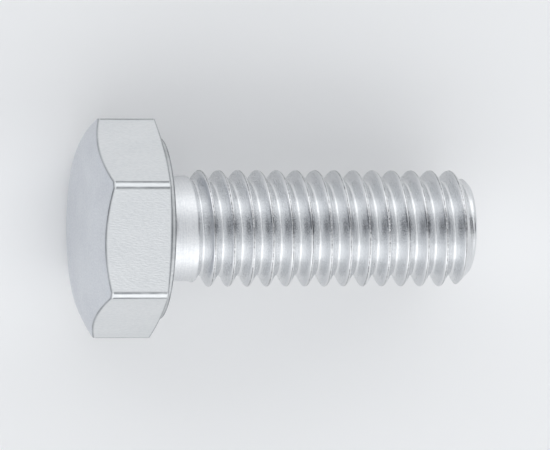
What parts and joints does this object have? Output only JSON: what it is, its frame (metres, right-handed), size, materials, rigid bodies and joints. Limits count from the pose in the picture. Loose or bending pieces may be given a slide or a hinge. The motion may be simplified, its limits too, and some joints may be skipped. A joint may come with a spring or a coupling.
{
  "type": "hex bolt",
  "caption": "Short hexagon head bolt with a chamfered head and a coarse right-hand thread running almost up to the head, zinc plated.",
  "frame": {"origin": "middle of the bearing face under the head, on the bolt's axis", "axes": "+X along the shank towards the point; +Z and -Z square to two opposite flats of the head, so the bolt lies on a flat; two corners of the hexagon lie on the Y axis"},
  "size_m": [0.0201, 0.0112, 0.0098],
  "materials": {
    "zinc_plated_steel": "bright zinc plating on cold forged steel, matt on the head and shinier on the thread"
  },
  "bodies": {
    "root": {"hex_bolt": "zinc_plated_steel"}
  },
  "joints": []
}
